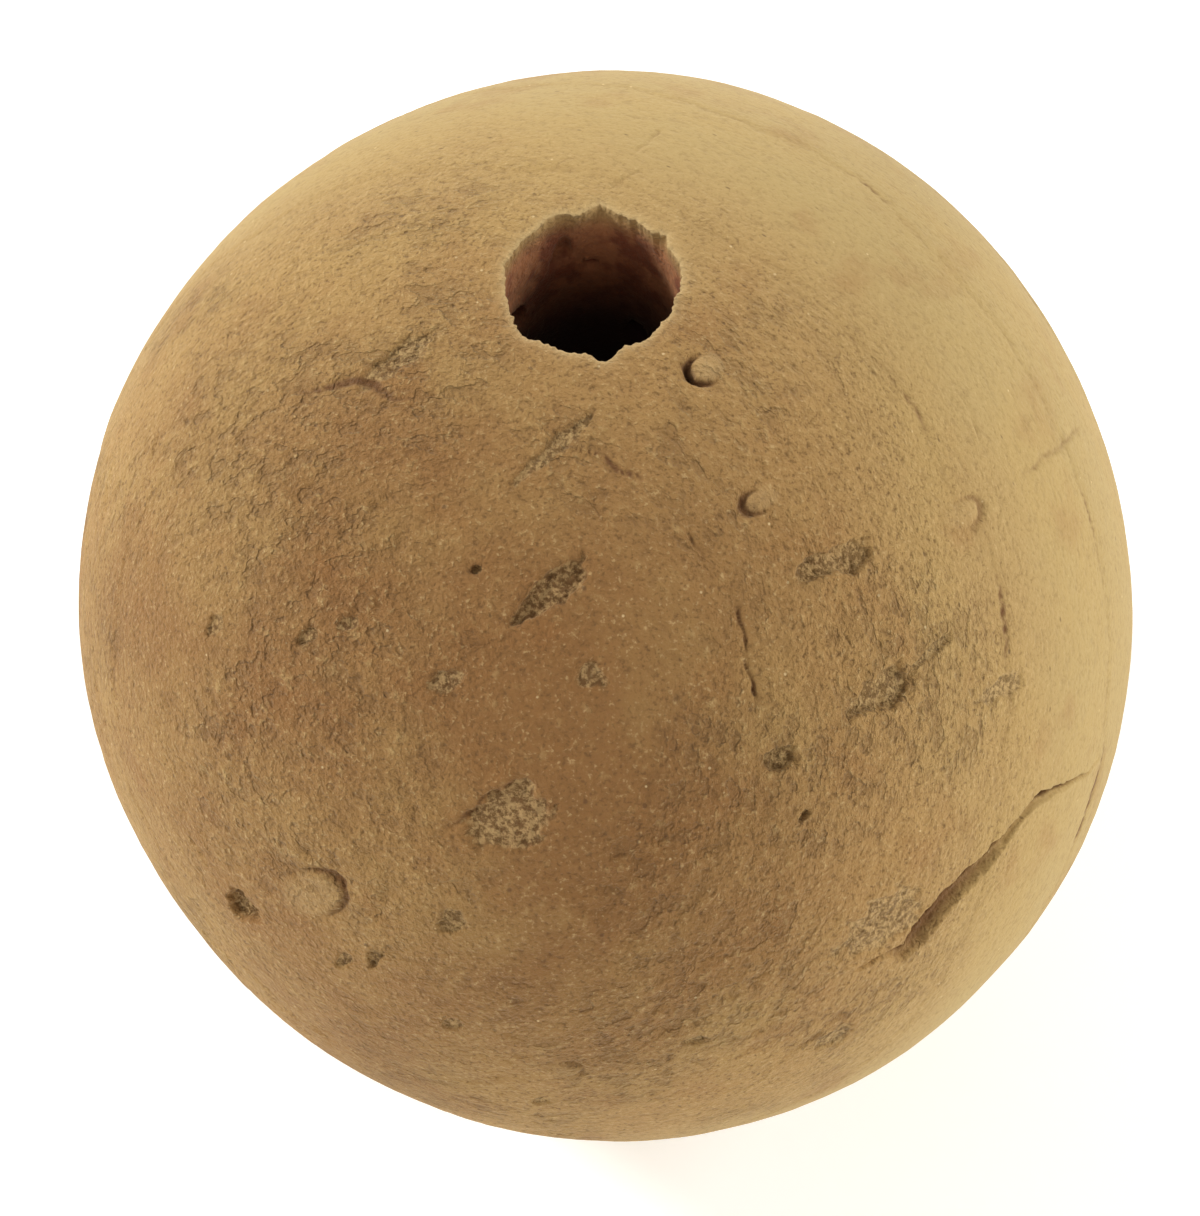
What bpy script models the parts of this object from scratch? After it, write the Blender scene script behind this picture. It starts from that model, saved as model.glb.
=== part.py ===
"""A drilled ball of natural cork, for rolling out hands, feet and tight muscles.

One block of bark is turned and sanded to a ball, then drilled through the middle, so that the
ball can run on a cord or a rod. Metres, +Z along the bore, origin at the centre of the ball.
Azimuth is in degrees from -Y towards +X, elevation in degrees up from the equator, and a
bearing is in degrees from east towards north, as seen from outside.
"""

import math

import bmesh
import bpy
from mathutils import Matrix, Vector

MM = 0.001

BALL_DIAMETER = 0.040
BORE_DIAMETER = 0.006
BORE_EDGE_BREAK = 0.0003

BALL_SEGMENTS = 64
BALL_RINGS = 32
PIT_SEGMENTS = 16
PIT_RINGS = 8

# Hand sanding leaves the ball a little out of round.
# Azimuth, elevation, how far the spot stands out, and its spread in degrees.
SANDED_SPOTS = [
    (95, 20, -0.30 * MM, 34),
    (-53, -10, -0.32 * MM, 30),
    (65, -42, 0.22 * MM, 28),
    (5, -33, 0.24 * MM, 26),
    (160, 40, 0.20 * MM, 32),
    (-130, -35, -0.18 * MM, 34),
]

# The larger lenticels, the corky pores of the bark, open as shallow pits.
# Azimuth, elevation, length, width, depth, bearing of the length.
LENTICELS = [
    (-11, 59, 3.2 * MM, 0.9 * MM, 0.35 * MM, 44),
    (-15, 72, 3.6 * MM, 0.5 * MM, 0.30 * MM, 52),
    (39, 55, 3.0 * MM, 0.9 * MM, 0.35 * MM, -16),
    (36, 41, 2.8 * MM, 1.1 * MM, 0.35 * MM, -3),
    (21, 40, 1.1 * MM, 0.8 * MM, 0.35 * MM, 3),
    (50, 76, 1.0 * MM, 0.7 * MM, 0.40 * MM, -24),
    (-42, 12, 1.7 * MM, 1.3 * MM, 0.60 * MM, 70),
    (-11, 38, 2.8 * MM, 1.9 * MM, 0.30 * MM, 29),
]

# The split follows the grain across one shoulder: azimuth, elevation, width, depth.
SPLIT_ROUTE = [
    (61, 6, 0.20 * MM, 0.35 * MM),
    (54, 13, 0.30 * MM, 0.60 * MM),
    (50, 16, 0.45 * MM, 0.90 * MM),
    (45, 16, 0.40 * MM, 0.90 * MM),
    (40, 15.5, 0.65 * MM, 1.30 * MM),
    (35, 15, 0.90 * MM, 1.60 * MM),
    (31, 12.5, 0.95 * MM, 1.60 * MM),
    (28, 12, 0.45 * MM, 1.00 * MM),
    (25, 12.5, 0.20 * MM, 0.40 * MM),
]
SPLIT_LEAN = 0.35
CUTTER_PROUD = 0.5 * MM

CORK_COLOUR = (0.40, 0.24, 0.10, 1)
CORK_ROUGHNESS = 0.85

BALL_RADIUS = BALL_DIAMETER / 2
BORE_RADIUS = BORE_DIAMETER / 2


def clear_scene():
    for obj in list(bpy.data.objects):
        bpy.data.objects.remove(obj)


def new_collection(name):
    collection = bpy.data.collections.new(name)
    bpy.context.scene.collection.children.link(collection)
    return collection


def new_object(name, bm, collection):
    mesh = bpy.data.meshes.new(name)
    bm.to_mesh(mesh)
    bm.free()
    obj = bpy.data.objects.new(name, mesh)
    collection.objects.link(obj)
    return obj


def as_cutter(obj):
    obj.hide_render = True
    obj.display_type = "WIRE"
    return obj


def direction(azimuth, elevation):
    a = math.radians(azimuth)
    e = math.radians(elevation)
    return Vector((math.cos(e) * math.sin(a), -math.cos(e) * math.cos(a), math.sin(e)))


def surface_radius(unit):
    """The sanded ball's radius along a unit vector."""
    radius = BALL_RADIUS
    for azimuth, elevation, height, spread in SANDED_SPOTS:
        away = unit.angle(direction(azimuth, elevation)) / math.radians(spread)
        radius += height * math.exp(-(away**2))
    return radius


def surface_frame(azimuth, elevation, bearing):
    """A matrix on the surface: X along the bearing, Y to its left, Z outwards."""
    out = direction(azimuth, elevation)
    east = direction(azimuth + 90, 0)
    north = out.cross(east)
    turn = math.radians(bearing)
    along = east * math.cos(turn) + north * math.sin(turn)
    axes = Matrix((along, out.cross(along), out)).transposed()
    return Matrix.Translation(out * surface_radius(out)) @ axes.to_4x4()


def sanded_ball(collection):
    bm = bmesh.new()
    bmesh.ops.create_uvsphere(
        bm, u_segments=BALL_SEGMENTS, v_segments=BALL_RINGS, radius=BALL_RADIUS
    )
    for vert in bm.verts:
        unit = vert.co.normalized()
        vert.co = unit * surface_radius(unit)
    return new_object("cork_ball", bm, collection)


def drill_cutter(collection):
    """A drill as long as it needs to be, which widens at each mouth to break the edge."""
    mouth = math.sqrt(BALL_RADIUS**2 - BORE_RADIUS**2)
    neck = mouth - BORE_EDGE_BREAK
    end = BALL_RADIUS + 4 * CUTTER_PROUD
    wide = BORE_RADIUS + end - neck
    profile = [(0, end), (wide, end), (BORE_RADIUS, neck)]
    profile += [(radius, -height) for radius, height in reversed(profile)]
    bm = bmesh.new()
    points = [bm.verts.new((radius, 0, height)) for radius, height in profile]
    for upper, lower in zip(points, points[1:]):
        bm.edges.new((upper, lower))
    obj = as_cutter(new_object("drill_cutter", bm, collection))
    screw = obj.modifiers.new("turn", "SCREW")
    screw.steps = BALL_SEGMENTS
    screw.render_steps = BALL_SEGMENTS
    screw.use_merge_vertices = True
    screw.merge_threshold = 0.00001
    return obj


def lenticel_cutter(index, pit, collection):
    azimuth, elevation, length, width, depth, bearing = pit
    bm = bmesh.new()
    bmesh.ops.create_uvsphere(bm, u_segments=PIT_SEGMENTS, v_segments=PIT_RINGS, radius=1)
    bmesh.ops.scale(bm, vec=(length / 2, width / 2, depth), verts=bm.verts)
    obj = as_cutter(new_object(f"lenticel_cutter_{index}", bm, collection))
    obj.matrix_world = surface_frame(azimuth, elevation, bearing)
    return obj


def split_section(before, here, after, width, depth):
    """The wedge across the split at one point: north lip, bottom, south lip."""
    along = (after - before).normalized()
    north = along.cross(here).normalized()
    surface = here * surface_radius(here)
    bottom = surface - here * depth + north * width * SPLIT_LEAN
    reach = (depth + CUTTER_PROUD) / depth
    lips = [surface + north * side * width / 2 for side in (1, -1)]
    tops = [bottom.lerp(lip, reach) for lip in lips]
    return tops[0], bottom, tops[1]


def split_cutter(collection):
    """A wedge lofted along the split, leaning under its north lip."""
    route = [direction(azimuth, elevation) for azimuth, elevation, _, _ in SPLIT_ROUTE]
    bm = bmesh.new()
    sections = []
    for i, (_, _, width, depth) in enumerate(SPLIT_ROUTE):
        before = route[max(i - 1, 0)]
        after = route[min(i + 1, len(route) - 1)]
        wedge = split_section(before, route[i], after, width, depth)
        sections.append([bm.verts.new(point) for point in wedge])
    for near, far in zip(sections, sections[1:]):
        for i in range(3):
            j = (i + 1) % 3
            bm.faces.new((near[i], near[j], far[j], far[i]))
    bm.faces.new(sections[0])
    bm.faces.new(sections[-1])
    bmesh.ops.triangulate(bm, faces=bm.faces)
    bmesh.ops.recalc_face_normals(bm, faces=bm.faces)
    return as_cutter(new_object("split_cutter", bm, collection))


def cut(obj, name, cutter):
    boolean = obj.modifiers.new(name, "BOOLEAN")
    boolean.operation = "DIFFERENCE"
    boolean.solver = "EXACT"
    boolean.object = cutter


def cork_material():
    material = bpy.data.materials.new("natural_cork")
    material.use_nodes = True
    shader = material.node_tree.nodes["Principled BSDF"]
    shader.inputs["Base Color"].default_value = CORK_COLOUR
    shader.inputs["Roughness"].default_value = CORK_ROUGHNESS
    shader.inputs["Metallic"].default_value = 0
    material.diffuse_color = CORK_COLOUR
    return material


def build():
    clear_scene()
    parts = new_collection("massage_ball")
    cutters = new_collection("cutters")
    ball = sanded_ball(parts)
    cut(ball, "bore", drill_cutter(cutters))
    cut(ball, "split", split_cutter(cutters))
    for index, pit in enumerate(LENTICELS, 1):
        cut(ball, f"lenticel_{index}", lenticel_cutter(index, pit, cutters))
    ball.data.materials.append(cork_material())
    ball.data.shade_smooth()


build()
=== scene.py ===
"""The looks of a drilled massage ball of natural cork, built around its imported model.

One piece, natural_cork_ball, stands for the CAD ball. Its surface is worked out in millimetres:
a point has a turn (its azimuth round the bore, in radians) and a way (0 to 1 from the top mouth
down the outside to the bottom mouth, 1 to 2 back up the wall of the bore). Azimuth is from -Y
towards +X, elevation is up from the equator, and a bearing is from east towards north.
"""

import itertools
import math

import bpy
import numpy as np
from mathutils import Matrix, Vector


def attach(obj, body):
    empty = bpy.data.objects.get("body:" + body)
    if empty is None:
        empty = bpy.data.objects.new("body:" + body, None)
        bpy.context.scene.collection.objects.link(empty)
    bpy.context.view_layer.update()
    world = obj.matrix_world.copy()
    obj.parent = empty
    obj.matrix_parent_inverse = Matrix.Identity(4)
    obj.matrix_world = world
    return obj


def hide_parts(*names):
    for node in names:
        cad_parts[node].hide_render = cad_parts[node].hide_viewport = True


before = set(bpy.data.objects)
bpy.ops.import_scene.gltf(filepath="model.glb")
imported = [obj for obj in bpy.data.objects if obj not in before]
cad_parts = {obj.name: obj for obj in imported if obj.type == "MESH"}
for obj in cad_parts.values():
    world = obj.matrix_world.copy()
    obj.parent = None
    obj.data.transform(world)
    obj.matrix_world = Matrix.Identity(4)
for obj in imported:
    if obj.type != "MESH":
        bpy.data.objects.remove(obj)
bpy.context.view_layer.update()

MM = 0.001
NODE = "cork_ball"

# ---------------------------------------------------------------- sizes from the frame

CAD_POINTS = np.array([vert.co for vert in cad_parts[NODE].data.vertices]) / MM
CAD_OFF_AXIS = np.hypot(CAD_POINTS[:, 0], CAD_POINTS[:, 1])
BORE_RADIUS = CAD_OFF_AXIS.min()
CAD_SKIN = CAD_POINTS[CAD_OFF_AXIS > BORE_RADIUS + 1]
BALL_RADIUS = np.median(np.linalg.norm(CAD_SKIN, axis=1))

# ---------------------------------------------------------------- the bark, in degrees and millimetres

# Cork grows in layers. This is the way out of the tree, across the layers.
BARK_AZIMUTH = -29
BARK_ELEVATION = 35.5
# Where the lines between years' growth lie along that way, from the ball's centre.
RINGS = [15.6, 8.0, 1.0, -6.0, -13.5]

# Open pores: azimuth, elevation, length, width, depth, bearing.
PORES = [
    (-10.5, 58, 3.3, 1.0, 0.40, 44),
    (-14, 71.5, 3.7, 0.5, 0.14, 52),
    (39, 54, 3.0, 0.9, 0.32, -16),
    (35.5, 40.5, 2.8, 1.1, 0.32, -3),
    (45, 40.5, 2.0, 0.35, 0.16, -5),
    (-72, 69.5, 3.2, 0.8, 0.18, 100),
    (20.5, 39.5, 1.2, 0.8, 0.35, 3),
    (21.5, 33, 0.5, 0.35, 0.35, 45),
    (-24, 59, 0.4, 0.35, 0.35, 38),
    (50.5, 31.5, 2.3, 0.8, 0.10, -23),
    (-42.5, 11.5, 1.7, 1.4, 0.60, 70),
    (-23.5, 48, 1.3, 0.8, 0.14, 32),
    (-3, 50.5, 1.0, 0.9, 0.12, 31),
    (-45, 45.5, 0.9, 0.5, 0.20, 56),
    (-40.5, 49, 0.8, 0.5, 0.12, 57),
    (-58, 39, 1.1, 0.6, 0.20, 97),
    (-18, 23.5, 1.1, 0.8, 0.22, 53),
    (-26, 15.5, 1.1, 0.5, 0.30, 72),
    (-29.5, 13, 1.1, 0.5, 0.20, 68),
    (-17.5, 9, 0.9, 0.6, 0.18, 41),
    (-9, -4, 0.8, 0.5, 0.15, 49),
    (6.5, 8.5, 0.8, 0.4, 0.14, 5),
    (21, 2, 1.6, 1.1, 0.12, -9),
    (-12.6, 36, 3.1, 2.1, 0.26, 35),
    (27, 16.5, 3.6, 2.2, 0.12, 10),
]

# Pores stopped by a plug of sound cork: azimuth, elevation, length, width, groove depth, bearing.
PLUGS = [
    (-34, 20, 3.3, 1.9, 0.17, 45),
    (46.5, 75.5, 1.4, 1.1, 0.32, 165),
    (34, 62.5, 1.5, 0.8, 0.22, 172),
    (61.5, 47, 2.1, 1.0, 0.12, -29),
    (-6, 4, 1.1, 0.9, 0.10, 20),
]

# Hairline cracks and creases: azimuth, elevation, length, width, depth, bearing.
CREASES = [
    (18, 61, 1.3, 0.07, 0.12, -82),
    (21, 52.5, 2.0, 0.08, 0.18, -102),
    (20, 47.8, 1.7, 0.09, 0.18, -91),
    (-1, 66, 1.6, 0.06, 0.08, -73),
    (163, 69.2, 2.9, 0.08, 0.07, -100),
    (164, 76.4, 1.8, 0.07, 0.05, -117),
    (83.4, 36.2, 8.0, 0.14, 0.08, 138),
    (36, 39.5, 6.3, 0.06, 0.05, -170),
    (-87, 39.5, 1.2, 0.08, 0.12, -38),
    (76.4, 49.4, 1.9, 0.06, 0.06, -135),
    (-16, 37.5, 4.0, 0.08, 0.12, 52),
    (18, 3, 5.0, 0.09, 0.08, 31),
    (39, 76.5, 0.8, 0.16, 0.30, -115),
    (-45, 60, 2.6, 0.07, 0.05, 30),
    (-20, 52.5, 3.2, 0.06, 0.06, 28),
    (30, 33, 4.2, 0.06, 0.06, 22),
]

# The split: azimuth, elevation, width, depth.
SPLIT_ROUTE = [
    (62, 7.5, 0.10, 0.03),
    (58, 10, 0.14, 0.14),
    (53, 14, 0.22, 0.35),
    (50, 16, 0.42, 0.75),
    (46, 16, 0.34, 0.60),
    (43, 15.5, 0.55, 0.85),
    (40, 15, 0.80, 1.20),
    (37, 14.6, 1.00, 1.45),
    (35, 14.2, 1.10, 1.55),
    (33, 13.1, 1.15, 1.60),
    (31, 11.8, 1.05, 1.45),
    (29.5, 11, 0.70, 0.90),
    (28, 11.8, 0.30, 0.45),
    (26, 12.2, 0.18, 0.25),
    (24, 12, 0.12, 0.06),
]

# Where the drill tore the top mouth: azimuth, how far it tore, spread in degrees.
TOP_CHIPS = [(172, 0.40, 10), (-158, 0.2, 9), (127, 0.22, 5), (100, 0.12, 8), (5, 0.30, 9), (-50, 0.2, 12)]
BOTTOM_CHIPS = [(60, 0.35, 7), (-20, 0.25, 10), (-120, 0.4, 8), (150, 0.2, 9)]

HIDDEN_PORES = 22


def direction(azimuth, elevation):
    a = math.radians(azimuth)
    e = math.radians(elevation)
    return np.array((math.cos(e) * math.sin(a), -math.cos(e) * math.cos(a), math.sin(e)))


BARK = direction(BARK_AZIMUTH, BARK_ELEVATION)

# ---------------------------------------------------------------- noise


def random_vectors(cells, seed):
    """A repeatable vector, each part from -1 to 1, for every whole-number cell."""
    x, y, z = (cells[:, i].astype(np.int64) for i in range(3))
    mixed = (x * 73856093) ^ (y * 19349663) ^ (z * 83492791) ^ (seed * 374761393)
    mixed = (mixed ^ (mixed >> 13)) * 1274126177 & 0x7FFFFFFF
    mixed = (mixed ^ (mixed >> 15)) * 668265263 & 0x3FFFFFFF
    parts = [(mixed >> shift) & 1023 for shift in (0, 10, 20)]
    return np.stack(parts, axis=1) / 511.5 - 1


def noise(points, size, seed):
    """Smooth noise from about -1 to 1, with bumps about size across."""
    scaled = points / size
    base = np.floor(scaled)
    within = scaled - base
    ease = within**3 * (within * (within * 6 - 15) + 10)
    total = np.zeros(len(points))
    for corner in itertools.product((0, 1), repeat=3):
        offset = np.array(corner)
        weight = np.prod(np.where(offset, ease, 1 - ease), axis=1)
        slope = random_vectors(base + offset, seed)
        total += weight * np.einsum("ij,ij->i", slope, within - offset)
    return total * 1.5


def layered(points, size, seed, octaves=3):
    return sum(noise(points, size / 2**i, seed + i) / 2**i for i in range(octaves))


def grains(points, size, seed):
    """Distance to the nearest of scattered centres, in grain sizes: 0 at a centre."""
    scaled = points / size
    base = np.floor(scaled)
    nearest = np.full(len(points), 9.0)
    for corner in itertools.product((-1, 0, 1), repeat=3):
        cell = base + np.array(corner)
        centre = cell + 0.5 + random_vectors(cell, seed) * 0.45
        nearest = np.minimum(nearest, np.linalg.norm(centre - scaled, axis=1))
    return nearest


def smooth_step(low, high, value):
    t = np.clip((value - low) / (high - low), 0, 1)
    return t * t * (3 - 2 * t)


def bump_at(value, width):
    return np.exp(-((value / width) ** 2))


def squeezed(points, across, along):
    """Points with the bark's way drawn out or squeezed, so that noise lies in its layers."""
    out = points @ BARK
    return points / across + np.outer(out, BARK) * (1 / along - 1 / across)


# ---------------------------------------------------------------- the sanded ball


def polynomial_terms(units):
    powers = [p for p in itertools.product(range(5), repeat=3) if sum(p) <= 4]
    return np.stack([np.prod(units**p, axis=1) for p in powers], axis=1)


def fit_sanded_shape():
    """A smooth radius over the whole ball, taken from the CAD ball's skin."""
    radii = np.linalg.norm(CAD_SKIN, axis=1)
    sound = radii > np.percentile(radii, 15) - 0.3
    terms = polynomial_terms(CAD_SKIN[sound] / radii[sound, None])
    return np.linalg.lstsq(terms, radii[sound], rcond=None)[0]


SANDED_SHAPE = fit_sanded_shape()


# The longest edges of the mesh, in millimetres: on plain cork, and round the details.
COARSE_EDGE = 0.90
FINE_EDGE = 0.175
# The far side makes do with longer edges.
FRONT = direction(0, 55)
FAR_SIDE_EDGES = 1.7


class Skin:
    """Heights and masks for points on the ball's outside, in millimetres."""

    def __init__(self, units):
        self.units = units
        self.radius = polynomial_terms(units) @ SANDED_SHAPE
        self.points = units * BALL_RADIUS
        count = len(units)
        self.height = np.zeros(count)
        self.pore = np.zeros(count)
        self.torn_and_shade = np.zeros(count)
        self.pale = np.zeros(count)
        self.edge = np.full(count, COARSE_EDGE)

    def near(self, azimuth, elevation, reach):
        out = direction(azimuth, elevation)
        return np.nonzero(self.units @ out > math.cos(reach / BALL_RADIUS))[0]

    def local(self, some, azimuth, elevation, bearing):
        """Millimetres along the bearing and to its left, of the points listed in some."""
        out = direction(azimuth, elevation)
        east = direction(azimuth + 90, 0)
        north = np.cross(out, east)
        turn = math.radians(bearing)
        along = east * math.cos(turn) + north * math.sin(turn)
        points = self.points[some]
        return points @ along, points @ np.cross(out, along)

    def refine(self, some, edge):
        self.edge[some] = np.minimum(self.edge[some], edge)


def sanding(skin):
    """Slow waves left by hand sanding, and the faint relief of the cork's layers."""
    skin.height += 0.08 * noise(skin.points, 9, 11) + 0.02 * noise(skin.points, 3, 12)
    skin.height += 0.018 * layered(squeezed(skin.points, 1.6, 0.5), 1, 13, 2)


def torn_relief(skin):
    """The inner bark tears into small chips, drawn out along its layers."""
    inner = smooth_step(9, 12, skin.points @ BARK)
    patches = smooth_step(-0.15, 0.4, noise(skin.points + 50, 5, 31)) * inner
    seen = patches > 0.2
    chips = layered(squeezed(skin.points[seen], 0.75, 0.42), 1, 32, 2)
    skin.height[seen] -= 0.075 * patches[seen] * smooth_step(0.05, 0.55, chips)
    skin.refine(np.nonzero(seen)[0][chips > 0.05], 0.38)


def ring_lines(skin):
    """The lines between years' growth: a wandering crease, open in places."""
    wander = 0.9 * noise(skin.points, 6, 21) + 0.25 * noise(skin.points, 1.5, 22)
    depth_in = skin.points @ BARK + wander
    tilt = np.sqrt(np.clip(1 - (skin.units @ BARK) ** 2, 0.05, 1))
    for number, offset in enumerate(RINGS):
        away = (depth_in - offset) / tilt
        open_here = smooth_step(0.15, 0.7, noise(skin.points + 30 * number, 4, 23))
        skin.height -= (0.03 + 0.05 * open_here) * bump_at(away, 0.11)
        skin.height -= 0.035 * smooth_step(-0.3, 0.3, away) * bump_at(away, 1.5)
        # The ring line's own darker colour, with painted shade added where it lies open and deeper.
        skin.torn_and_shade = np.maximum(skin.torn_and_shade, (0.1 + 0.3 * open_here) * bump_at(away, 0.09))
        skin.refine(np.abs(away) < 0.25, 0.28)


def open_pore(skin, azimuth, elevation, length, width, depth, bearing, seed):
    """A pit with a ragged edge, its floor crumbled into grains."""
    some = skin.near(azimuth, elevation, length * 0.8 + 0.8)
    if not len(some):
        return
    x, y = skin.local(some, azimuth, elevation, bearing)
    points = skin.points[some]
    x = x + 0.16 * width * noise(points, 0.5, seed + 3)
    y = y + (0.22 * width + 0.03) * noise(points, 0.6, seed + 4)
    ragged = 1 + 0.20 * noise(points, 0.3, seed)
    taper = 1 + 0.3 * np.clip(2 * x / length, -1, 1)
    away = (np.abs(2 * x / length) ** 2.3 + np.abs(2 * y / width / taper) ** 2.3) ** (1 / 2.3) * ragged
    inside = 1 - smooth_step(0.80, 1.05, away)
    crumbs = grains(points, 0.30, seed + 2)
    skin.height[some] -= 0.75 * depth * inside * (0.6 + 0.6 * crumbs) - 0.02 * bump_at(away - 1.2, 0.15)
    skin.pore[some] = np.maximum(skin.pore[some], inside)
    skin.refine(some[away < 1.35], FINE_EDGE)


def plugged_pore(skin, azimuth, elevation, length, width, depth, bearing, seed):
    """A plug of sound, paler cork with a groove round it, deepest where the bearing points."""
    some = skin.near(azimuth, elevation, length / 2 + 0.8)
    if not len(some):
        return
    x, y = skin.local(some, azimuth, elevation, bearing)
    points = skin.points[some]
    ragged = 1 + 0.12 * noise(points, 0.5, seed) + 0.05 * noise(points, 0.2, seed + 1)
    away = np.hypot(2 * x / length, 2 * y / width) * ragged
    one_end = 0.08 + 0.92 * smooth_step(-0.3, 0.9, 2 * x / length)
    groove = bump_at((away - 1) * width / 2, 0.10) * one_end
    plug = 1 - smooth_step(0.7, 0.95, away)
    skin.height[some] += 0.015 * plug - depth * groove * (1 + 0.4 * noise(points, 0.3, seed + 3))
    # Painted shade in the groove: darker the deeper it is, so darkest at the end the bearing points to.
    skin.torn_and_shade[some] = np.maximum(skin.torn_and_shade[some], 1.6 * depth * groove)
    skin.pale[some] = np.maximum(skin.pale[some], depth * plug)
    skin.refine(some[np.abs(away - 1) < 0.35], FINE_EDGE)


def crease(skin, azimuth, elevation, length, width, depth, bearing, seed):
    """A hairline that wanders, deepest in the middle."""
    some = skin.near(azimuth, elevation, length / 2 + 0.5)
    if not len(some):
        return
    x, y = skin.local(some, azimuth, elevation, bearing)
    points = skin.points[some]
    y = y + 0.26 * noise(points, 1.1, seed) + 0.10 * noise(points, 0.35, seed + 1)
    along = 1 - smooth_step(0.45, 1, np.abs(2 * x / length))
    line = along * bump_at(y, width) * (0.75 + 0.5 * noise(points, 0.6, seed + 2))
    skin.height[some] -= depth * line
    # Painted shade: the hairline darkens where it is deepest.
    skin.torn_and_shade[some] = np.maximum(skin.torn_and_shade[some], 2.2 * depth * line)
    skin.refine(some[(np.abs(y) < 0.3) & (along > 0)], 0.15)


def split(skin):
    """The split: a steep north lip, and a ramp of ripped cork up to the south one, with painted shade that
    darkens it where it is deeper.
    """
    some = skin.near(42, 13, 12)
    if not len(some):
        return
    points = skin.points[some]
    route = np.array([direction(a, e) * BALL_RADIUS for a, e, _, _ in SPLIT_ROUTE])
    best = np.full(len(some), 9.0)
    across = np.zeros(len(some))
    width = np.ones(len(some))
    depth = np.zeros(len(some))
    for i in range(len(route) - 1):
        start, run = route[i], route[i + 1] - route[i]
        t = np.clip((points - start) @ run / (run @ run), 0, 1)
        gap = points - start - t[:, None] * run
        distance = np.linalg.norm(gap, axis=1)
        closer = distance < best
        best[closer] = distance[closer]
        across[closer] = (np.sign(gap @ np.cross(run, start)) * distance)[closer]
        for k, values in ((2, width), (3, depth)):
            values[closer] = (SPLIT_ROUTE[i][k] * (1 - t) + SPLIT_ROUTE[i + 1][k] * t)[closer]
    sideways = across + 0.12 * noise(points, 1.6, 40) + 0.08 * noise(points, 0.7, 41)
    sideways += 0.04 * noise(points, 0.25, 42)
    shift = sideways / width
    north_wall = 1 - smooth_step(0.5, 0.5 + 0.10 / np.maximum(width, 0.1), shift)
    ramp = 0.3 * smooth_step(-0.7, -0.4, shift) + 0.7 * smooth_step(-0.25, 0.15, shift)
    cut = north_wall * ramp * bump_at(np.maximum(best - width, 0), 0.4)
    skin.height[some] -= depth * cut * (1 + 0.10 * noise(points, 0.35, 43))
    # Painted shade: the split darkens with its depth.
    skin.torn_and_shade[some] = np.maximum(skin.torn_and_shade[some], np.clip(cut**1.5 * depth, 0, 1))
    skin.refine(some[best < width * 0.8 + 0.25], 0.12)


def hidden_pores():
    """Pores for the sides that no list names, most of them drawn out along the bark."""
    random = np.random.default_rng(5)
    made = []
    while len(made) < HIDDEN_PORES:
        azimuth = random.uniform(80, 280)
        elevation = math.degrees(math.asin(random.uniform(-0.97, 0.93)))
        length = random.uniform(0.5, 1.4) * random.choice((1, 1, 2.2))
        width = random.uniform(0.3, 0.9)
        depth = random.uniform(0.12, 0.38)
        out = direction(azimuth, elevation)
        if out @ FRONT > -0.05:
            continue
        east = direction(azimuth + 90, 0)
        lean = math.degrees(math.atan2(BARK @ np.cross(out, east), BARK @ east))
        made.append((azimuth, elevation, max(length, width), width, depth, lean + random.uniform(-15, 15)))
    return made


ALL_PORES = PORES + hidden_pores()


def outside(units):
    skin = Skin(units)
    sanding(skin)
    torn_relief(skin)
    ring_lines(skin)
    for number, pore in enumerate(ALL_PORES):
        open_pore(skin, *pore, seed=100 + 5 * number)
    for number, plug in enumerate(PLUGS):
        plugged_pore(skin, *plug, seed=700 + 5 * number)
    for number, line in enumerate(CREASES):
        crease(skin, *line, seed=900 + 5 * number)
    split(skin)
    skin.edge *= np.where(units @ FRONT > -0.1, 1, FAR_SIDE_EDGES)
    return skin


# ---------------------------------------------------------------- the bore


# How far use has worn the mouths' edges down, in millimetres.
WORN_EDGE = 0.10
# The chips and the noise seed of the top mouth (1) and of the bottom one (-1).
MOUTH_SEEDS = {1: (TOP_CHIPS, 51), -1: (BOTTOM_CHIPS, 61)}


def mouth_radius(turns, chips, seed):
    """The ripped outline of a mouth of the bore."""
    ring = np.stack([np.sin(turns), -np.cos(turns), np.zeros_like(turns)], axis=1) * BORE_RADIUS
    radius = BORE_RADIUS - 0.09 + 0.10 * noise(ring, 1.6, seed) + 0.10 * noise(ring, 0.6, seed + 1)
    radius += 0.07 * noise(ring, 0.28, seed + 2) + 0.08 * noise(ring, 0.16, seed + 3)
    for azimuth, tear, spread in chips:
        away = np.degrees(np.angle(np.exp(1j * (turns - math.radians(azimuth)))))
        radius += tear * bump_at(away, spread)
    return radius


def mouth(turns, chips, seed, sign):
    """(distance off the axis, height) of a mouth's edge."""
    sine = mouth_radius(turns, chips, seed) / BALL_RADIUS
    cosine = sign * np.sqrt(1 - sine**2)
    units = np.stack([sine * np.sin(turns), -sine * np.cos(turns), cosine], axis=1)
    skin = outside(units)
    radius = skin.radius + skin.height - WORN_EDGE
    return radius * sine, radius * cosine


def wall_radius(turns, heights):
    """The bore's wall: drill chatter, crumbled pores and loose grains."""
    ring = np.stack([np.sin(turns) * 3, -np.cos(turns) * 3, heights], axis=1)
    radius = BORE_RADIUS + 0.07 * noise(ring, 1.8, 71) + 0.05 * noise(ring, 0.6, 72)
    pits = smooth_step(0.35, 0.6, noise(ring, 1.2, 73))
    return radius + 0.05 * noise(ring, 0.3, 74) + 0.40 * pits


# ---------------------------------------------------------------- from (turn, way) to a place


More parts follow.
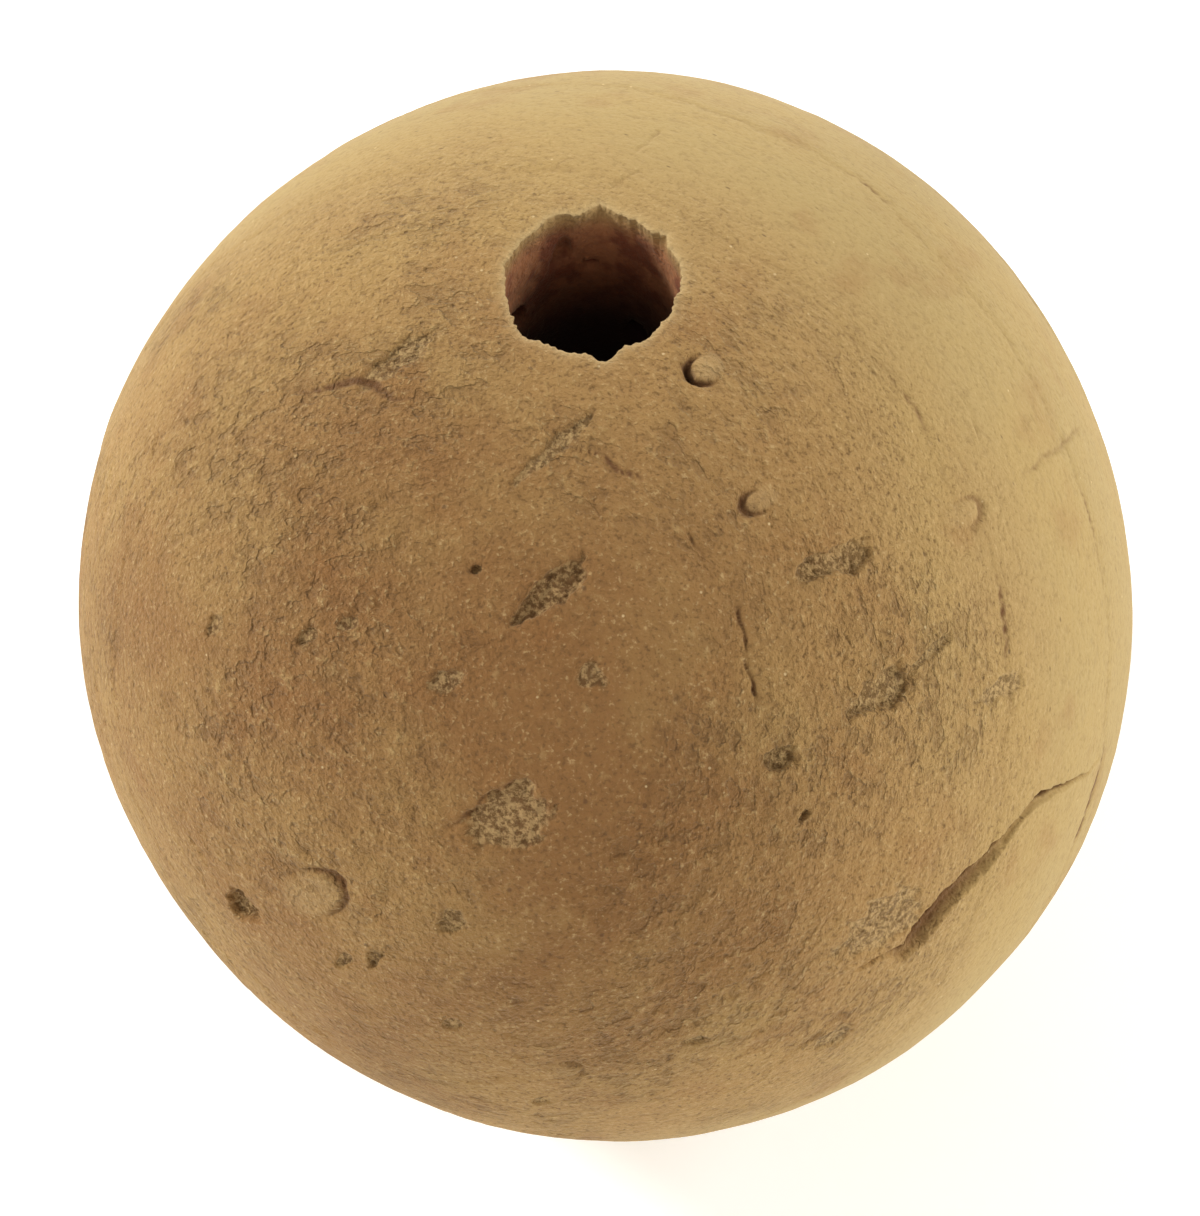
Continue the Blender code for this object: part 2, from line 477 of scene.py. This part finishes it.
def skin_rows(turns, ways):
    """The columns of surface() for points on the outside."""
    made = np.zeros((len(turns), 8))
    top = np.arcsin(np.minimum(mouth_radius(turns, *MOUTH_SEEDS[1]) / BALL_RADIUS, 1))
    bottom = np.arcsin(np.minimum(mouth_radius(turns, *MOUTH_SEEDS[-1]) / BALL_RADIUS, 1))
    polar = top + ways * (math.pi - top - bottom)
    off_axis = np.sin(polar)
    units = np.stack([off_axis * np.sin(turns), -off_axis * np.cos(turns), np.cos(polar)], axis=1)
    skin = outside(units)
    from_rim = np.minimum(polar - top, math.pi - bottom - polar) * BALL_RADIUS
    radius = skin.radius + skin.height - WORN_EDGE * np.exp(-from_rim / 0.18)
    skin.refine(from_rim < 0.8, 0.2)
    skin.refine(from_rim < 0.15, 0.085)
    made[:, :3] = units * radius[:, None]
    made[:, 3] = skin.pore
    made[:, 4] = skin.torn_and_shade
    made[:, 6] = np.maximum(skin.pale, np.exp(-from_rim / 0.16))
    made[:, 7] = skin.edge
    return made


def wall_rows(turns, rise):
    """The columns of surface() for points on the wall of the bore, rise from 0 to 1."""
    made = np.zeros((len(turns), 8))
    top_off, top_z = mouth(turns, *MOUTH_SEEDS[1], 1)
    low_off, low_z = mouth(turns, *MOUTH_SEEDS[-1], -1)
    heights = low_z + rise * (top_z - low_z)
    off_axis = wall_radius(turns, heights)
    from_mouth = np.minimum(top_z - heights, heights - low_z)
    mouth_off = np.where(rise > 0.5, top_off, low_off)
    off_axis += (mouth_off - off_axis) * np.exp(-from_mouth / 0.7)
    made[:, :3] = np.stack([off_axis * np.sin(turns), -off_axis * np.cos(turns), heights], axis=1)
    made[:, 5] = smooth_step(0, 1.1, from_mouth)
    made[:, 6] = 0.8 * np.exp(-from_mouth / 0.12)
    made[:, 7] = np.where(from_mouth < 3.5, 0.24, np.where(from_mouth < 7, 0.45, 1.0))
    return made


def surface(turns, ways):
    """Columns for each point: x, y, z, pore, ripped cork and painted shade, bore, pale, longest edge
    wanted.
    """
    made = np.zeros((len(turns), 8))
    on_skin = (ways <= 1) | (ways >= 2)
    ways = np.where(ways >= 2, 0, ways)
    made[on_skin] = skin_rows(turns[on_skin], ways[on_skin])
    made[~on_skin] = wall_rows(turns[~on_skin], ways[~on_skin] - 1)
    return made


# ---------------------------------------------------------------- the mesh


def middle_turn(a, b):
    return np.angle(np.exp(1j * a) + np.exp(1j * b))


def middle_way(a, b):
    """Half way between two ways, on the loop that closes at 2."""
    turn = middle_turn(a * math.pi, b * math.pi) / math.pi
    return np.where(turn < -1e-9, turn + 2, np.abs(turn))


def first_grid(columns, skin_rows, wall_rows):
    turns = np.arange(columns) * 2 * math.pi / columns
    ways = np.concatenate([np.arange(skin_rows) / skin_rows, 1 + np.arange(wall_rows) / wall_rows])
    rows = len(ways)
    turn_of = np.tile(turns, rows)
    way_of = np.repeat(ways, columns)
    i, j = np.meshgrid(np.arange(rows), np.arange(columns), indexing="ij")
    i2, j2 = (i + 1) % rows, (j + 1) % columns
    a, b, c, d = (i * columns + j, i2 * columns + j, i2 * columns + j2, i * columns + j2)
    faces = np.concatenate([np.stack([a, b, c], -1), np.stack([a, c, d], -1)]).reshape(-1, 3)
    return turn_of, way_of, faces


def edge_table(faces):
    """The edges, and for each face the numbers of its edges 01, 12 and 20."""
    ends = np.sort(np.concatenate([faces[:, [0, 1]], faces[:, [1, 2]], faces[:, [2, 0]]]), axis=1)
    count = faces.max() + 1
    keys, index = np.unique(ends[:, 0] * count + ends[:, 1], return_inverse=True)
    return np.stack([keys // count, keys % count], axis=1), index.reshape(3, -1).T


def mark_longest(marked, of_face, lengths):
    """A face with a marked edge marks its longest too, so that halving keeps faces well shaped."""
    longest = of_face[np.arange(len(of_face)), lengths[of_face].argmax(axis=1)]
    while True:
        more = marked[of_face].any(axis=1) & ~marked[longest]
        if not more.any():
            return longest
        marked[longest[more]] = True


def halve(faces, of_face, lengths, new_point):
    """Each face is cut across its longest edge, then across its other marked edges."""
    turn_to = lengths[of_face].argmax(axis=1)
    order = (turn_to[:, None] + np.arange(3)) % 3
    v = np.take_along_axis(faces, order, axis=1)
    m, right, left = new_point[np.take_along_axis(of_face, order, axis=1)].T
    whole = m < 0
    made = [v[whole]]
    for keep, corner, point in ((~whole, 0, left), (~whole, 1, right)):
        plain, cut = keep & (point < 0), keep & (point >= 0)
        if corner == 0:
            made.append(np.stack([v[plain, 0], m[plain], v[plain, 2]], 1))
            made.append(np.stack([v[cut, 0], m[cut], point[cut]], 1))
            made.append(np.stack([point[cut], m[cut], v[cut, 2]], 1))
        else:
            made.append(np.stack([m[plain], v[plain, 1], v[plain, 2]], 1))
            made.append(np.stack([m[cut], v[cut, 1], point[cut]], 1))
            made.append(np.stack([m[cut], point[cut], v[cut, 2]], 1))
    return np.concatenate(made)


FIRST_COLUMNS = 36
FIRST_SKIN_ROWS = 28
FIRST_WALL_ROWS = 14
MOST_ROUNDS = 20
FINEST_EDGE = 0.05


def plain_lengths(turns, ways, rows, a, b):
    """The lengths that edges would have with no relief, so that a sheer wall isn't cut for ever."""
    round_axis = np.abs(np.angle(np.exp(1j * (turns[a] - turns[b])))) * np.hypot(rows[a, 0], rows[a, 1])
    along_way = np.abs(np.angle(np.exp(1j * math.pi * (ways[a] - ways[b])))) * BALL_RADIUS * 0.9
    return np.hypot(round_axis, along_way)


def refined_surface():
    turns, ways, faces = first_grid(FIRST_COLUMNS, FIRST_SKIN_ROWS, FIRST_WALL_ROWS)
    rows = surface(turns, ways)
    for _ in range(MOST_ROUNDS):
        edges, of_face = edge_table(faces)
        a, b = edges.T
        lengths = np.linalg.norm(rows[a, :3] - rows[b, :3], axis=1)
        marked = lengths > np.minimum(rows[a, 7], rows[b, 7])
        marked &= plain_lengths(turns, ways, rows, a, b) > FINEST_EDGE
        if not marked.any():
            break
        mark_longest(marked, of_face, lengths)
        new_point = np.full(len(edges), -1)
        new_point[marked] = len(turns) + np.arange(marked.sum())
        a, b = edges[marked].T
        new_turns = middle_turn(turns[a], turns[b])
        new_ways = middle_way(ways[a], ways[b])
        faces = halve(faces, of_face, lengths, new_point)
        turns = np.concatenate([turns, new_turns])
        ways = np.concatenate([ways, new_ways])
        rows = np.concatenate([rows, surface(new_turns, new_ways)])
    return rows, faces


def ball_piece():
    rows, faces = refined_surface()
    mesh = bpy.data.meshes.new("natural_cork_ball")
    mesh.from_pydata((rows[:, :3] * MM).tolist(), [], faces.tolist())
    for column, name in ((3, "pore"), (4, "torn_and_shade"), (5, "bore"), (6, "pale")):
        layer = mesh.attributes.new(name, "FLOAT", "POINT")
        layer.data.foreach_set("value", rows[:, column].astype(np.float32))
    mesh.validate()
    mesh.shade_smooth()
    piece = bpy.data.objects.new("natural_cork_ball", mesh)
    bpy.context.scene.collection.objects.link(piece)
    return piece


# ---------------------------------------------------------------- materials


def srgb(red, green, blue):
    """A colour as linear light, from values out of 255."""
    values = [v / 255 for v in (red, green, blue)]
    return (*[v / 12.92 if v <= 0.04045 else ((v + 0.055) / 1.055) ** 2.4 for v in values], 1)


class Nodes:
    """A short way to write a node tree."""

    def __init__(self, name):
        self.material = bpy.data.materials.new(name)
        self.material.use_nodes = True
        self.tree = self.material.node_tree
        self.shader = self.tree.nodes["Principled BSDF"]

    def put(self, socket, value):
        if isinstance(value, bpy.types.NodeSocket):
            self.tree.links.new(value, socket)
        else:
            socket.default_value = value

    def add(self, kind, inputs=(), output=0, **settings):
        node = self.tree.nodes.new(kind)
        for key, value in settings.items():
            setattr(node, key, value)
        for key, value in dict(inputs).items():
            self.put(node.inputs[key], value)
        return node.outputs[output]

    def math(self, operation, a, b=0.0, clamp=False):
        return self.add("ShaderNodeMath", {0: a, 1: b}, operation=operation, use_clamp=clamp)

    def noise(self, vector, scale, detail=3, roughness=0.55, distortion=0.0):
        inputs = {"Vector": vector, "Scale": scale, "Detail": detail, "Roughness": roughness,
                  "Distortion": distortion}
        return self.add("ShaderNodeTexNoise", inputs, output="Fac")

    def spread(self, value, low, high, to_low=0.0, to_high=1.0):
        inputs = {"Value": value, "From Min": low, "From Max": high, "To Min": to_low, "To Max": to_high}
        return self.add("ShaderNodeMapRange", inputs, interpolation_type="SMOOTHSTEP")

    def mix(self, factor, a, b, blend="MIX"):
        inputs = {"Factor": factor, "A": a, "B": b}
        node = self.tree.nodes.new("ShaderNodeMix")
        node.data_type = "RGBA"
        node.blend_type = blend
        node.clamp_factor = True
        for key, value in inputs.items():
            socket = next(s for s in node.inputs if s.name == key and s.enabled)
            self.put(socket, value)
        return next(s for s in node.outputs if s.enabled)

    def attribute(self, name):
        return self.add("ShaderNodeAttribute", output="Fac", attribute_name=name)


class Bark:
    """Where a point lies in the bark, in millimetres, and the patterns that follow from it."""

    def __init__(self, n):
        self.place = n.add("ShaderNodeMapping", {"Vector": n.add("ShaderNodeTexCoord", output="Object"),
                                                 "Scale": (1000, 1000, 1000)})
        turn = Vector(BARK).rotation_difference(Vector((0, 0, 1))).to_euler()
        in_bark = n.add("ShaderNodeMapping", {"Vector": self.place, "Rotation": turn})
        self.layers = n.add("ShaderNodeMapping", {"Vector": in_bark, "Scale": (1, 1, 2.2)})
        wander = n.noise(self.place, 0.12, 2)
        straight = n.add("ShaderNodeSeparateXYZ", {"Vector": in_bark}, output="Z")
        depth_in = n.math("ADD", straight, n.math("MULTIPLY", n.math("SUBTRACT", wander, 0.5), 5))
        self.inner = n.spread(depth_in, 11, 19)
        self.outer = n.spread(depth_in, 13, 3)
        self.calm = n.spread(self.outer, 0, 1, 1, 0.28)
        patches = n.spread(n.noise(self.place, 0.16, 2), 0.42, 0.6, 0.25, 1)
        self.rough = n.math("MULTIPLY", n.spread(depth_in, 6, 11), patches)
        self.strokes = n.noise(self.layers, 2.1, 4, 0.62)
        self.grit = n.noise(self.place, 6.0, 2, 0.6)
        ridges = n.noise(self.layers, 1.0, 3, 0.6)
        self.chips = n.math("MULTIPLY", n.spread(ridges, 0.52, 0.60), self.rough)


def bark_relief(n, bark):
    strength = n.math("ADD", n.math("MULTIPLY", bark.rough, 0.8), 0.4)
    strokes = n.math("MULTIPLY", bark.strokes, strength)
    chipped = n.math("SUBTRACT", strokes, n.math("MULTIPLY", bark.chips, 0.36))
    relief = n.math("ADD", chipped, n.math("MULTIPLY", bark.grit, 0.5))
    return n.math("MULTIPLY", relief, bark.calm)


def plain_colour(n, bark):
    """Browner towards the inner bark, to the front, left and top, with wide pale and reddish clouds. That
    browner side is partly the cork's own tone and partly painted shade.
    """
    # Partly painted shade: the inner bark's browner side.
    base = n.mix(bark.inner, srgb(174, 136, 82), srgb(141, 100, 56))
    base = n.mix(bark.outer, base, srgb(180, 153, 99))
    pale = n.spread(n.noise(bark.layers, 0.11, 3), 0.40, 0.66, 0, 0.35)
    base = n.mix(pale, base, srgb(184, 152, 92))
    reddish = n.spread(n.noise(bark.place, 0.30, 3), 0.52, 0.74, 0, 0.30)
    return n.mix(reddish, base, srgb(146, 96, 50))


def grain_and_relief_shading(n, bark, base):
    """Strokes, chips and grit, each darker where it is low and paler where it is high: painted shade in
    the relief's hollows and painted highlight on its tops.
    """
    strength = n.math("ADD", n.math("MULTIPLY", bark.rough, 0.25), 0.2)
    # Painted shade in the strokes' hollows.
    low = n.math("MULTIPLY", n.spread(bark.strokes, 0.50, 0.30), strength)
    base = n.mix(low, base, srgb(108, 76, 42))
    # Painted highlight on the strokes' tops.
    high = n.math("MULTIPLY", n.spread(bark.strokes, 0.55, 0.75), strength)
    base = n.mix(high, base, srgb(200, 168, 110))
    # Painted shade in the chips.
    base = n.mix(n.math("MULTIPLY", bark.chips, 0.28), base, srgb(112, 80, 46))
    # Painted shade in the grit's hollows.
    grit_shade = n.math("MULTIPLY", n.spread(bark.grit, 0.46, 0.28, 0, 0.6), bark.calm)
    base = n.mix(grit_shade, base, srgb(104, 74, 44))
    # Painted highlight on the grit's tops.
    grit_highlight = n.math("MULTIPLY", n.spread(bark.grit, 0.57, 0.78, 0, 0.5), bark.calm)
    base = n.mix(grit_highlight, base, srgb(210, 178, 122))
    specks = n.add("ShaderNodeTexVoronoi", {"Vector": bark.place, "Scale": 0.8}, output="Distance")
    base = n.mix(n.spread(specks, 0.05, 0.025, 0, 0.6), base, srgb(226, 200, 150))
    # Painted shade: dark spots for pinholes that the mesh and relief don't have.
    pinhole_shade = n.add("ShaderNodeTexVoronoi", {"Vector": bark.layers, "Scale": 0.62}, output="Distance")
    return n.mix(n.spread(pinhole_shade, 0.08, 0.03, 0, 0.55), base, srgb(84, 56, 34))


def painted_bore_shade(n, bark):
    """Painted shade inside the bore: a darker, blotchy reddish brown near the mouths, and near black
    deeper in.
    """
    blotches = n.noise(bark.place, 0.9, 3)
    shaded_near_mouths = n.mix(n.spread(blotches, 0.4, 0.6), srgb(128, 74, 50), srgb(168, 112, 74))
    height = n.add("ShaderNodeSeparateXYZ", {"Vector": bark.place}, output="Z")
    deep_shade = n.spread(n.math("ABSOLUTE", height), 18.2, 13.5)
    return n.mix(deep_shade, shaded_near_mouths, srgb(44, 26, 24))


def worn_and_shaded_colour(n, bark, base):
    """The crumbled pores, ripped edges and bore, where the mesh says they are, with painted shade in the
    creases, grooves, split and bore.
    """
    crumbs = n.noise(bark.place, 4.8, 3, 0.7)
    pore_colour = n.mix(n.spread(crumbs, 0.40, 0.62), srgb(84, 60, 34), srgb(194, 162, 110))
    base = n.mix(n.spread(n.attribute("pore"), 0.15, 1, 0, 0.58), base, pore_colour)
    torn_and_shade = n.attribute("torn_and_shade")
    # Brown, then near black: the ring lines' own darker colour, and painted shade in creases, plug
    # grooves, the split and open ring lines, darker the deeper they are.
    base = n.mix(n.spread(torn_and_shade, 0.02, 0.3), base, srgb(116, 80, 47))
    base = n.mix(n.spread(torn_and_shade, 0.32, 0.8), base, srgb(50, 27, 20))
    # The bore's wall takes its painted shade.
    base = n.mix(n.attribute("bore"), base, painted_bore_shade(n, bark))
    return n.mix(n.math("MULTIPLY", n.attribute("pale"), 0.8), base, srgb(206, 176, 124))


def cork_material():
    n = Nodes("natural_cork")
    bark = Bark(n)
    base = grain_and_relief_shading(n, bark, plain_colour(n, bark))
    n.put(n.shader.inputs["Base Color"], worn_and_shaded_colour(n, bark, base))
    n.put(n.shader.inputs["Roughness"], n.spread(bark.grit, 0.3, 0.7, 0.9, 0.72))
    n.shader.inputs["Specular IOR Level"].default_value = 0.2
    n.shader.inputs["Sheen Weight"].default_value = 0.12
    n.shader.inputs["Sheen Roughness"].default_value = 0.5
    n.shader.inputs["Sheen Tint"].default_value = srgb(255, 236, 196)
    height = bark_relief(n, bark)
    bump = n.add("ShaderNodeBump", {"Strength": 0.9, "Distance": 0.00028, "Height": height})
    n.put(n.shader.inputs["Normal"], bump)
    return n.material


FLOOR_GLOW = 0.34


def floor_material():
    n = Nodes("pale_floor")
    n.shader.inputs["Base Color"].default_value = srgb(244, 244, 242)
    n.shader.inputs["Roughness"].default_value = 0.9
    n.shader.inputs["Emission Color"].default_value = (1, 1, 1, 1)
    n.shader.inputs["Emission Strength"].default_value = FLOOR_GLOW
    return n.material


# ---------------------------------------------------------------- floor, light and camera


# The floor, in metres: the flat's radius, the bend's radius and the wall's height.
FLOOR_FLAT = 0.9
FLOOR_BEND = 0.35
FLOOR_WALL = 0.7
FLOOR_SEGMENTS = 96
BEND_STEPS = 12


def floor_profile():
    """(radius, rise) from the middle of the floor to the top of its wall."""
    profile = [(0, 0), (FLOOR_FLAT, 0)]
    for i in range(1, BEND_STEPS + 1):
        angle = i / BEND_STEPS * math.pi / 2
        radius = FLOOR_FLAT + FLOOR_BEND * math.sin(angle)
        profile.append((radius, FLOOR_BEND * (1 - math.cos(angle))))
    profile.append((FLOOR_FLAT + FLOOR_BEND, FLOOR_WALL))
    return profile


def studio_floor(height):
    """A round sweep: a flat floor that curves up into a low wall all round."""
    profile = floor_profile()
    mesh = bpy.data.meshes.new("studio_floor")
    points = []
    faces = []
    for radius, rise in profile:
        for k in range(FLOOR_SEGMENTS):
            a = 2 * math.pi * k / FLOOR_SEGMENTS
            points.append((radius * math.cos(a), radius * math.sin(a), height + rise))
    for i in range(len(profile) - 1):
        ring, next_ring = i * FLOOR_SEGMENTS, (i + 1) * FLOOR_SEGMENTS
        for k in range(FLOOR_SEGMENTS):
            k2 = (k + 1) % FLOOR_SEGMENTS
            faces.append((ring + k, ring + k2, next_ring + k2, next_ring + k))
    mesh.from_pydata(points, [], faces)
    mesh.shade_smooth()
    floor = bpy.data.objects.new("studio_floor", mesh)
    bpy.context.scene.collection.objects.link(floor)
    floor.data.materials.append(floor_material())


WORLD_STRENGTH = 0.37
LIGHT_DISTANCE = 0.6

# Softboxes aimed at the ball: name, azimuth, elevation, diameter in metres, watts.
SOFTBOXES = [
    ("back_light", 175, 35, 0.4, 0.3),
    ("left_light", -110, 32, 0.12, 2.5),
    ("right_light", 95, 30, 0.4, 1.9),
]


def softbox(name, azimuth, elevation, size, power):
    light = bpy.data.lights.new(name, "AREA")
    light.shape = "DISK"
    light.size = size
    light.energy = power
    lamp = bpy.data.objects.new(name, light)
    place = Vector(direction(azimuth, elevation)) * LIGHT_DISTANCE
    lamp.location = place
    lamp.rotation_euler = place.to_track_quat("Z", "Y").to_euler()
    bpy.context.scene.collection.objects.link(lamp)


def lighting():
    world = bpy.data.worlds.new("studio")
    world.use_nodes = True
    background = world.node_tree.nodes["Background"]
    background.inputs["Color"].default_value = (1, 1, 1, 1)
    background.inputs["Strength"].default_value = WORLD_STRENGTH
    bpy.context.scene.world = world
    for box in SOFTBOXES:
        softbox(*box)


CAMERA_ELEVATION = 57
CAMERA_ROLL = 2.6
CAMERA_DISTANCE = 6 * BALL_RADIUS * MM
CAMERA_LENS = 92.9
CAMERA_SENSOR = 36
CAMERA_SHIFT = (-0.0056, -0.001)


def camera():
    data = bpy.data.cameras.new("camera")
    data.lens = CAMERA_LENS
    data.sensor_width = CAMERA_SENSOR
    data.shift_x, data.shift_y = CAMERA_SHIFT
    data.clip_start = 0.01
    data.clip_end = 10
    cam = bpy.data.objects.new("camera", data)
    back = Vector(direction(0, CAMERA_ELEVATION))
    aim = back.to_track_quat("Z", "Y").to_matrix()
    roll = Matrix.Rotation(math.radians(-CAMERA_ROLL), 3, "Z")
    cam.matrix_world = Matrix.Translation(back * CAMERA_DISTANCE) @ (aim @ roll).to_4x4()
    bpy.context.scene.collection.objects.link(cam)
    bpy.context.scene.camera = cam


# ---------------------------------------------------------------- putting it together

ball = ball_piece()
ball.data.materials.append(cork_material())
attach(ball, "root")
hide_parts(NODE)

lowest = min(vert.co.z for vert in ball.data.vertices)
studio_floor(lowest)
lighting()
camera()
bpy.context.scene.view_settings.view_transform = "Standard"
